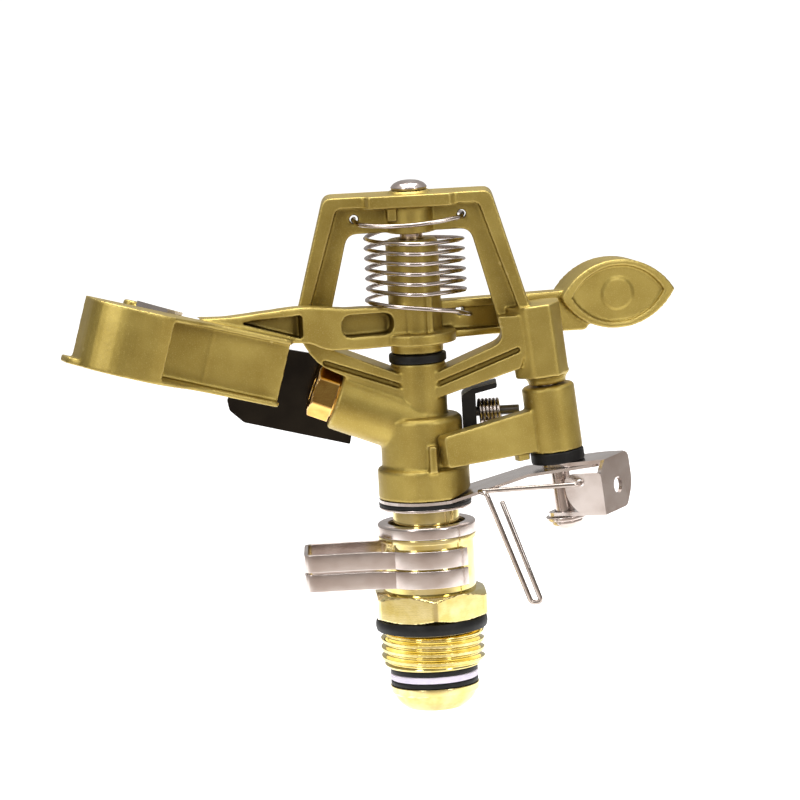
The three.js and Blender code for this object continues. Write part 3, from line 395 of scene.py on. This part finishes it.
def collar(name, low, body):
    """One collar: its strip's middle line, swept with a section that has rounded edges."""
    middle = COLLAR_BORE + COLLAR_SHEET / 2
    mouth, leave = math.asin(MOUTH_HALF / middle), math.radians(48)
    ring = []
    for k in range(41):
        angle = mouth + (math.pi - leave - mouth) * k / 40
        ring.append(Vector((middle * math.cos(angle), middle * math.sin(angle))))
    strip, end = LOOP_HALF - COLLAR_SHEET / 2, COLLAR_SHEET / 2 - LOOP_REACH
    bend = -COLLAR_BORE - COLLAR_SHEET - BEND_OUT
    loop = rounded([
        ring[-1], [bend, strip, 1.8], [end, strip, 1.6],
        [end, -strip, 1.6], [bend, -strip, 1.8], [ring[-1].x, -ring[-1].y]],
        closed=False, steps=8)
    line = ring + loop[1:-1] + [Vector((p.x, -p.y)) for p in reversed(ring)]
    side = COLLAR_SHEET / 2
    section = rounded([[-side, 0], [side, 0], [side, COLLAR_HEIGHT], [-side, COLLAR_HEIGHT]], 0.16, 4)
    points, faces = [], []
    for i, spot in enumerate(line):
        ahead = line[min(i + 1, len(line) - 1)] - line[max(i - 1, 0)]
        across = Vector((ahead.y, -ahead.x)).normalized()
        for u, v in section:
            points.append((spot.x + across.x * u, spot.y + across.y * u, low + v))
    count = len(section)
    for i in range(len(line) - 1):
        for k in range(count):
            a, b = i * count + k, i * count + (k + 1) % count
            faces.append((a, b, b + count, a + count))
    last = (len(line) - 1) * count
    faces += [tuple(range(count)), tuple(range(last, last + count))]
    band = mesh_object(name + "_strip", points, faces, stainless, body, "stainless", 40)
    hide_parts(name)


collar("lower_collar", 9.55, "lower_collar")
collar("upper_collar", 13.55, "upper_collar")

# ------------------------------------------------------------------ head casting
# Hub, pivot column, nozzle barrel, trip boss and the open bridge over the column, in one piece.
# Die-cast zinc, tumbled so that its corners are soft, then coated with a gold tinted lacquer.


def lacquered(tree, place):
    """Tinted lacquer on zinc: 0.15 mm sparkle, 0.6 mm orange peel, 3 mm waves, painted shade in recesses and
    inside corners, painted highlight on edges.
    """
    tone = add_node(tree, "TexNoise", {"Vector": place, "Scale": 0.09, "Detail": 3.0})
    tone = add_node(tree, "MapRange", {"Value": tone, "From Min": 0.35, "From Max": 0.65})
    base = add_node(tree, "MixRGB", {
        "Fac": tone, "Color1": colour("#BBA65A"), "Color2": colour("#A38D46")})
    sparkle = add_node(tree, "TexNoise", {"Vector": place, "Scale": 6.5, "Detail": 2.0})
    bright = add_node(tree, "MapRange", {
        "Value": sparkle, "From Min": 0.55, "From Max": 0.75, "To Max": 0.5})
    base = add_node(tree, "MixRGB", {"Fac": bright, "Color1": base, "Color2": colour("#E0CE86")})
    corner = add_node(tree, "NewGeometry").outputs["Pointiness"]
    # Painted highlight: convex edges are painted a lighter gold.
    painted_edge_highlight = add_node(tree, "MapRange", {
        "Value": corner, "From Min": 0.51, "From Max": 0.57, "To Max": 0.35})
    base = add_node(tree, "MixRGB", {"Fac": painted_edge_highlight, "Color1": base, "Color2": colour("#DCCB8C")})
    # Painted shade: inside corners are painted darker.
    painted_crease_shade = add_node(tree, "MapRange", {
        "Value": corner, "From Min": 0.495, "From Max": 0.45, "To Max": 0.55})
    base = add_node(tree, "MixRGB", {"Fac": painted_crease_shade, "Color1": base, "Color2": colour("#6E5B22")})
    # Painted shade: recesses found by ambient occlusion are painted dark brown.
    shade = add_node(tree, "AmbientOcclusion", {"Distance": 7 * MM}, only_local=True, samples=8)
    painted_hollow_shade = add_node(tree, "MapRange", {
        "Value": shade.outputs["AO"], "From Min": 0.68, "From Max": 0.28, "To Max": 0.85})
    base = add_node(tree, "MixRGB", {"Fac": painted_hollow_shade, "Color1": base, "Color2": colour("#4C3C14")})
    rough = add_node(tree, "MapRange", {
        "Value": sparkle, "From Min": 0.3, "From Max": 0.7, "To Min": 0.4, "To Max": 0.54})
    waves = add_node(tree, "TexNoise", {"Vector": place, "Scale": 0.35, "Detail": 2.0})
    peel = add_node(tree, "TexNoise", {"Vector": place, "Scale": 1.6, "Detail": 2.0})
    cast = add_node(tree, "Bump", {"Height": waves, "Distance": 0.07 * MM, "Strength": 0.7})
    skin = add_node(tree, "Bump", {"Height": peel, "Distance": 0.03 * MM, "Strength": 0.7, "Normal": cast})
    return {
        "Base Color": base, "Metallic": 1.0, "Roughness": rough, "Normal": skin,
        "Coat Weight": 0.12, "Coat Roughness": 0.25}


# Die-cast zinc under gold tinted lacquer: olive gold and satin, painted darker in inside corners and recesses
# as painted shade, and lighter on edges as painted highlight.
gold_lacquer = finish_material("gold_tinted_lacquer", lacquered)


def dress(node, material):
    """Gives a CAD node its finish."""
    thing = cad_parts[node]
    thing.data.materials.clear()
    thing.data.materials.append(material)
    return thing


def cast_surface(thing, grain_mm, passes):
    """Softens a casting's corners inside and out, as moulding and tumbling do."""
    remesh = thing.modifiers.new("cast_skin", "REMESH")
    remesh.mode = "VOXEL"
    remesh.voxel_size = grain_mm * MM
    remesh.use_smooth_shade = True
    smooth = thing.modifiers.new("tumbled_corners", "SMOOTH")
    smooth.factor = 0.5
    smooth.iterations = passes


fine = 1.0
head = dress("head_casting", gold_lacquer)
cast_surface(head, 0.28 * fine, 5)

# ------------------------------------------------------------------ washers and strap under the hub
# A stainless washer, a black rubber one, and the stainless strap that holds the trip pin.
# The strap is blanked from sheet and bent upwards towards the trip side.
steel_washer = turned("head_steel_washer_ring", [
    [5.2, 24.9, 0.05], [9.35, 24.9, 0.15], [9.35, 25.4, 0.15], [5.2, 25.4, 0.05]],
    stainless, "head", "stainless")
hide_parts("head_steel_washer")
rubber_washer = turned("head_rubber_washer_ring", [
    [5.2, 25.5, 0.1], [9.35, 25.5, 0.22], [9.35, 26.2, 0.22], [5.2, 26.2, 0.1]],
    black_rubber, "head", "black_rubber")
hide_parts("head_rubber_washer")


def soft_edges(thing, width_mm, limit=28, segments=3):
    """Rounds the edges of a CAD node and keeps its flat faces flat."""
    bevel = thing.modifiers.new("broken_edges", "BEVEL")
    bevel.width = width_mm * MM
    bevel.segments = segments
    bevel.limit_method = "ANGLE"
    bevel.angle_limit = math.radians(limit)
    bevel.harden_normals = False
    thing.data.shade_smooth()
    thing.data.set_sharp_from_angle(angle=math.radians(limit))
    weighted = thing.modifiers.new("flat_faces", "WEIGHTED_NORMAL")
    weighted.keep_sharp = False


strap = dress("pin_strap", stainless)
soft_edges(strap, 0.1)

# ------------------------------------------------------------------ nozzle and flow vane
# The hexagon brass nozzle that is screwed into the barrel, and the plastic cross inside it.
# The nozzle is turned from hexagon bar and drilled; its mouth is countersunk.
RISE = math.radians(22)
HUB_BOTTOM, NOZZLE_HEIGHT = 27.0, 14.2
jet = Vector((-math.cos(RISE), 0, math.sin(RISE)))
root = Vector((0, 0, HUB_BOTTOM + NOZZLE_HEIGHT))


def basis(origin, x, y):
    """A frame at a point with its X and Y along two directions."""
    x, y = Vector(x).normalized(), Vector(y).normalized()
    z = x.cross(y)
    matrix = Matrix((x, y, z)).transposed().to_4x4()
    matrix.translation = origin
    return matrix


barrel_frame = basis(root, (0, 1, 0), jet.cross(Vector((0, 1, 0))))
# Turned brass left bare: warmer and deeper than the plated body.
nozzle_brass = finish_material("turned_bare_brass", brass("#EDBE66", "#CF9340", 0.14))
FACE, NOZZLE_FLATS, NOZZLE_LENGTH = 18.4, 9.4, 4.6


def nozzle_radius(r, z, angle):
    if r < 4.65 or z < FACE - 0.01:
        return r
    wedge = (angle - math.radians(8) + math.pi / 6) % (math.pi / 3) - math.pi / 6
    cone = NOZZLE_FLATS / 2 - 0.1 + 1.7 * max(0, FACE + NOZZLE_LENGTH - z)
    return min(r, NOZZLE_FLATS / 2 / math.cos(wedge), cone, NOZZLE_FLATS / 2 / math.cos(math.pi / 6) - 0.12)


section = [[3.3, FACE - 6.9], [4.2, FACE - 5.9], [4.2, FACE - 0.02]]
for i in range(31):
    section.append([5.45, FACE + NOZZLE_LENGTH * i / 30])
section += rounded([
    [4.5, FACE + NOZZLE_LENGTH + 0.02, 0], [4.0, FACE + NOZZLE_LENGTH + 0.25, 0.2],
    [3.0, FACE + NOZZLE_LENGTH + 0.25, 0.2], [2.2, FACE + NOZZLE_LENGTH - 1.2, 0.3],
    [2.2, FACE + 2, 0.3], [3.3, FACE - 5, 0.3]], closed=False)
nozzle = mesh_object(
    "nozzle_hex_brass", *placed(revolve(section, 192, nozzle_radius), barrel_frame),
    nozzle_brass, "head", "polished_brass", 30)
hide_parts("nozzle")
vane = dress("flow_vane", white_slip)
soft_edges(vane, 0.15)

# ------------------------------------------------------------------ deflector plate
# A flat stainless plate riveted behind the nozzle; it trims the water to one side.
# Blanked from sheet, with a sheared lower edge painted bright as a painted highlight and faces painted nearly
# black as a painted dark reflection.


def plate_with_painted_reflection(tree, place):
    """Faces painted nearly black as a painted dark reflection, with 3 mm drifts of tone; the sheared edges,
    which face up or down, are painted bright as a painted highlight.
    """
    tone = add_node(tree, "TexNoise", {"Vector": place, "Scale": 0.12, "Detail": 3.0})
    tone = add_node(tree, "MapRange", {"Value": tone, "From Min": 0.35, "From Max": 0.65})
    # Painted reflection: the faces are painted nearly black.
    face = add_node(tree, "MixRGB", {"Fac": tone, "Color1": colour("#2C2925"), "Color2": colour("#3A362F")})
    outward = add_node(tree, "TexCoord").outputs["Normal"]
    depth = add_node(tree, "SeparateXYZ", {"Vector": outward}).outputs["Y"]
    depth = add_node(tree, "Math", {0: depth}, operation="ABSOLUTE")
    # Painted highlight: edges facing up or down are painted near white.
    edge = add_node(tree, "MapRange", {"Value": depth, "From Min": 0.97, "From Max": 0.75})
    base = add_node(tree, "MixRGB", {"Fac": edge, "Color1": face, "Color2": colour("#EDE8E6")})
    marks = add_node(tree, "TexNoise", {"Vector": place, "Scale": 2.0, "Detail": 3.0})
    rough = add_node(tree, "MapRange", {"Value": marks, "To Min": 0.08, "To Max": 0.2})
    skin = add_node(tree, "Bump", {"Height": marks, "Distance": 0.002 * MM, "Strength": 0.4})
    return {"Base Color": base, "Metallic": 1.0, "Roughness": rough, "Normal": skin}


# Rolled stainless whose colour is painted nearly black as a painted reflection of the dark room, with sheared
# edges painted bright as a painted highlight.
painted_reflection_stainless = finish_material("rolled_stainless_painted_reflection", plate_with_painted_reflection)
deflector = dress("deflector_plate", painted_reflection_stainless)
soft_edges(deflector, 0.25)
deflector_frame = basis(root + jet * 12.5, (0, 0, 1), (1, 0, 0))
rivet = turned("deflector_rivet_head", [
    [0.001, 5.95, 0], [1.1, 5.95, 0.1], [1.1, 8.5, 0.05], [2.4, 8.5, 0.2], [2.2, 9.4, 0.4],
    [1.2, 9.85, 0.6], [0.001, 9.95, 0]], stainless, "head", "stainless", deflector_frame, facets=64)
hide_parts("deflector_rivet")

# ------------------------------------------------------------------ fulcrum pin and thrust washer
# The riveted stainless pin that the swing arm turns on, and the black washer below the arm.
# The head is a low cone with a rounded rim.
pin = turned("fulcrum_pin_riveted", [
    [0.001, 49.4, 0], [2.3, 49.4, 0.3], [2.3, 89.2, 0.05], [3.5, 89.2, 0.15], [3.7, 89.7, 0.2],
    [3.1, 90.44, 0.5], [1.8, 91.0, 0.8], [0.001, 91.15, 0]], stainless, "head", "stainless")
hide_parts("fulcrum_pin")
thrust = turned("thrust_washer_black", [
    [2.6, 54.5, 0.1], [5.8, 54.5, 0.35], [5.8, 56.2, 0.4], [2.6, 56.2, 0.1]],
    black_rubber, "head", "black_rubber")
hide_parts("thrust_washer")

# ------------------------------------------------------------------ swing arm
# The arm with its spoon in the jet and the leaf-shaped counterweight at the other end.
# Die-cast zinc with the same gold lacquer; a thin steel strip lines the spoon's vane.
arm = dress("swing_arm", gold_lacquer)
cast_surface(arm, 0.28 * fine, 5)
strip = dress("wear_strip", stainless)
soft_edges(strip, 0.07)

# ------------------------------------------------------------------ arm spring
# Stainless torsion spring round the arm's hub; it swings the spoon back into the jet.
# Its foot hooks into the arm and its top end passes over the coil into the bridge.
SPRING_X, SPRING_R, SPRING_WIRE, SPRING_TURNS = 0.5, 9.75, 0.45, 6
SPRING_LOW, SPRING_HIGH = 67.5, 79.7
HOOK_REACH, HOOK_HEIGHT = 10.0, 63.6
ARM_REST = math.radians(17)


def arm_hook(depth):
    """A point on the axis of the arm's hook hole."""
    return Matrix.Rotation(ARM_REST, 3, "Z") @ Vector((HOOK_REACH, depth, HOOK_HEIGHT))


turns = coil(SPRING_R, SPRING_LOW, SPRING_HIGH, -SPRING_TURNS, 180, 48, (SPRING_X, 0))
foot = [
    arm_hook(-1.2), arm_hook(-4.8), (7.6, -7.35, 65.1), (SPRING_X, -SPRING_R, 66.3), (-6.4, -7.15, 67.0)]
top = [
    (SPRING_X, SPRING_R, 81.6), (8.5, 6.5, 83.2), (10.3, 1.6, 83.8), (10.3, -1.6, 83.7),
    (9.0, -4.4, 83.4), (0, -7.35, 82.7), (-9.0, -5, 82.9), (-11.3, -1.6, 83.6), (-11.3, 0.3, 83.8)]
spring_line = smooth_path(foot + turns[::12] + top, 8)
spring = round_wire("arm_spring_wound", spring_line, SPRING_WIRE, spring_steel, None, "spring_wire")
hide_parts("arm_spring")
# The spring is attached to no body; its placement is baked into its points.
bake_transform(spring)

# ------------------------------------------------------------------ trip pin, lever and pad
# The stainless pin through strap and boss, the lacquered lever that turns on it, the rubber pad.
# The pin leans outwards, so the lever's arm rises towards the hub.
trip = Matrix.Translation((25.75, 0, 48.6)) @ Matrix.Rotation(math.radians(-5.2), 4, "Y")
# Heights below are along the leaning pin, each piece 0.1 mm under the last.
LEVER_BOTTOM = -0.3 - 13.3
PAD_BOTTOM = LEVER_BOTTOM - 0.1 - 2.3
BRACKET_TOP = PAD_BOTTOM - 0.1
STRAP_TOP = BRACKET_TOP - 0.8 - 0.1
BRACKET_LOW = STRAP_TOP - 0.6 - 9.4
PIN_WASHER = BRACKET_LOW - 0.1
trip_pin = turned("trip_pin_headed", [
    [0.001, PIN_WASHER - 2.8, 0], [2.1, PIN_WASHER - 2.6, 0.6], [3.3, PIN_WASHER - 1.7, 0.5],
    [3.3, PIN_WASHER - 0.9, 0.2], [1.9, PIN_WASHER - 0.9, 0.05], [1.9, 7.0, 0.2], [0.001, 7.0, 0]],
    stainless, "head", "stainless", trip, facets=96)
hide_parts("trip_pin")
pin_washer = turned("trip_pin_washer_ring", [
    [2.0, PIN_WASHER - 0.8, 0.1], [4.1, PIN_WASHER - 0.8, 0.2], [4.1, PIN_WASHER, 0.2],
    [2.0, PIN_WASHER, 0.1]], stainless, "head", "stainless", trip, facets=96)
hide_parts("trip_pin_washer")
lever = dress("trip_lever", gold_lacquer)
cast_surface(lever, 0.24 * fine, 5)
pad = turned("lever_pad_rubber", [
    [2.2, PAD_BOTTOM, 0.1], [5.4, PAD_BOTTOM, 0.4], [5.4, PAD_BOTTOM + 2.3, 0.4],
    [2.2, PAD_BOTTOM + 2.3, 0.1]], black_rubber, "head", "black_rubber", trip)
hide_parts("lever_pad")

# ------------------------------------------------------------------ toggle
# A black plastic block behind the hub with a steel rod and a short spring that snaps the lever over.
# The block is moulded; the rod is ground and the spring wound from thin wire.
# Acetal, moulded: black with a fine grain.
black_plastic = finish_material("moulded_black_acetal", moulded("#181716", "#2C2A28", 0.42))
# Ground steel, blackened: dark brownish grey and satin.
dark_steel = finish_material("blackened_ground_steel", steel("#6A6560", "#4B4844", 0.34, (2.0, 2.0, 2.0)))
toggle = dress("toggle_block", black_plastic)
soft_edges(toggle, 0.3)
toggle_frame = basis((10.5, 2.4, 43.2), (0, 1, 0), (0, 0, 1))
rod = turned("toggle_rod_ground", [
    [0.001, 0.05, 0], [0.98, 0.05, 0.2], [0.98, 9.4, 0.2], [0.001, 9.4, 0]],
    dark_steel, "head", "dark_steel", toggle_frame, facets=48)
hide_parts("toggle_rod")
small_coil = [toggle_frame @ p for p in coil(2.3, 1.2, 5.6, 6, 0, 36)]
toggle_spring = round_wire(
    "toggle_spring_coil", small_coil, 0.34, spring_steel, "head", "spring_wire", 10)
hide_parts("toggle_spring")

# ------------------------------------------------------------------ trip bracket and wire
# The folded stainless bracket that turns on the trip pin, and the hairpin wire hooked into it.
# The wire's long legs reach down between the tabs of the friction collars.
bracket = dress("trip_bracket", stainless)
soft_edges(bracket, 0.16)
bracket_frame = trip @ Matrix.Rotation(math.radians(-31), 4, "Z")
inverse = bracket_frame.inverted()
corners = [
    Vector((6, -0.8, -20.3)), Vector((6, -4.2, -20.3)), inverse @ Vector((10.6, -8.4, 28.6)),
    inverse @ Vector((12.2, -9.6, 28.4)), inverse @ Vector((20.2, -8.6, 5.4)),
    inverse @ Vector((22.2, -8.6, 5.6)), inverse @ Vector((15.3, -9.6, 26.4))]


def bent(corners, bend, steps=8):
    """Straight runs through corner points, with each bend rounded."""
    line = [corners[0]]
    for last, here, after in zip(corners, corners[1:], corners[2:]):
        back, ahead = last - here, after - here
        reach = min(bend, 0.45 * back.length, 0.45 * ahead.length)
        start, end = here + back.normalized() * reach, here + ahead.normalized() * reach
        for k in range(steps + 1):
            t = k / steps
            line.append(start * (1 - t) ** 2 + here * 2 * t * (1 - t) + end * t * t)
    return line + [corners[-1]]


hairpin = round_wire(
    "trip_wire_bent", [bracket_frame @ p for p in bent(corners, 1.0)], 0.5, spring_steel,
    "trip_bracket", "spring_wire")
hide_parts("trip_wire")

# ------------------------------------------------------------------ floor, light and camera
# A pale floor just below the fitting, with painted light: it emits light under and behind the fitting and is
# painted darker grey in front and to the sides; a soft tent of light with three panels, and a long lens
# looking slightly down at the front.


def floor_card_with_painted_light(tree, place):
    """Matt card with painted light: white and emitting light under and behind the object, painted warm grey
    in front and to the sides.
    """
    grain = add_node(tree, "TexNoise", {"Vector": place, "Scale": 0.02, "Detail": 4.0})
    grain = add_node(tree, "MapRange", {"Value": grain, "To Max": 0.2})
    tint = add_node(tree, "MixRGB", {"Fac": grain, "Color1": colour("#FFFFFF"), "Color2": colour("#F4F4F4")})
    axes = add_node(tree, "SeparateXYZ", {"Vector": place})
    near = add_node(tree, "MapRange", {"Value": axes.outputs["Y"], "From Min": -45.0, "From Max": -150.0})
    aside = add_node(tree, "Math", {0: axes.outputs["X"]}, operation="ABSOLUTE")
    aside = add_node(tree, "MapRange", {"Value": aside, "From Min": 260.0, "From Max": 360.0})
    graded = add_node(tree, "Math", {0: near, 1: aside}, operation="MAXIMUM")
    tint = add_node(tree, "MixRGB", {"Fac": graded, "Color1": tint, "Color2": colour("#B3A89F")})
    # Painted light: the card emits light where it is white, under and behind the object, and none where it
    # turns grey.
    painted_emission = add_node(tree, "MapRange", {"Value": graded, "To Min": 0.5, "To Max": 0.0})
    return {
        "Base Color": tint, "Roughness": 0.9, "Emission Color": colour("#FFFFFF"), "Emission Strength": painted_emission}


bpy.ops.mesh.primitive_plane_add(size=9000 * MM, location=(0, 0, -30 * MM))
floor = bpy.context.object
floor.name = "floor"
floor.data.materials.append(finish_material("floor_card_painted_light", floor_card_with_painted_light))

for name, place, width, height, power in (
        ("key_left", (-380, -520, 330), 160, 420, 1.3),
        ("key_right", (420, -480, 300), 120, 420, 1.1),
        ("top_panel", (0, 40, 480), 360, 300, 2.4)):
    panel = bpy.data.lights.new(name, "AREA")
    panel.shape = "RECTANGLE"
    panel.size, panel.size_y = width * MM, height * MM
    panel.energy = power
    lamp = bpy.data.objects.new(name, panel)
    bpy.context.scene.collection.objects.link(lamp)
    lamp.location = Vector(place) * MM
    lamp.rotation_euler = (Vector((0, 0, 50)) - Vector(place)).to_track_quat("-Z", "Y").to_euler()

# The tent is pale above and grey all round, dimmest in front, which gives the metal its dark reflections.
world = bpy.data.worlds.new("tent")
bpy.context.scene.world = world
world.use_nodes = True
sky = world.node_tree
sky.nodes.clear()
axes = add_node(sky, "SeparateXYZ", {"Vector": add_node(sky, "TexCoord").outputs["Generated"]})
behind = add_node(sky, "MapRange", {"Value": axes.outputs["Y"], "From Min": 0.1, "From Max": 0.5})
above = add_node(sky, "MapRange", {"Value": axes.outputs["Z"], "From Min": 0.1, "From Max": 0.8})
front = add_node(sky, "MixRGB", {"Fac": above, "Color1": colour("#6E6A64"), "Color2": colour("#E4E2E0")})
tent = add_node(sky, "MixRGB", {"Fac": behind, "Color1": front, "Color2": colour("#B4B2B0")})
back = add_node(sky, "Background", {"Color": tent, "Strength": 1.0})
add_node(sky, "OutputWorld", {"Surface": back})
bpy.context.scene.view_settings.view_transform = "Standard"

camera_data = bpy.data.cameras.new("camera")
camera = bpy.data.objects.new("camera", camera_data)
bpy.context.scene.collection.objects.link(camera)
bpy.context.scene.camera = camera
camera_data.sensor_width = 36
camera_data.lens = 246.5
camera_data.clip_start, camera_data.clip_end = 0.05, 20
camera.location = Vector((-4.0, -1090, 209)) * MM
aim = Vector((-4.0, 0, 46.7)) * MM - camera.location
camera.rotation_euler = (aim.to_track_quat("-Z", "Y") @ Matrix.Rotation(
    math.radians(-3.1), 4, "Z").to_quaternion()).to_euler()
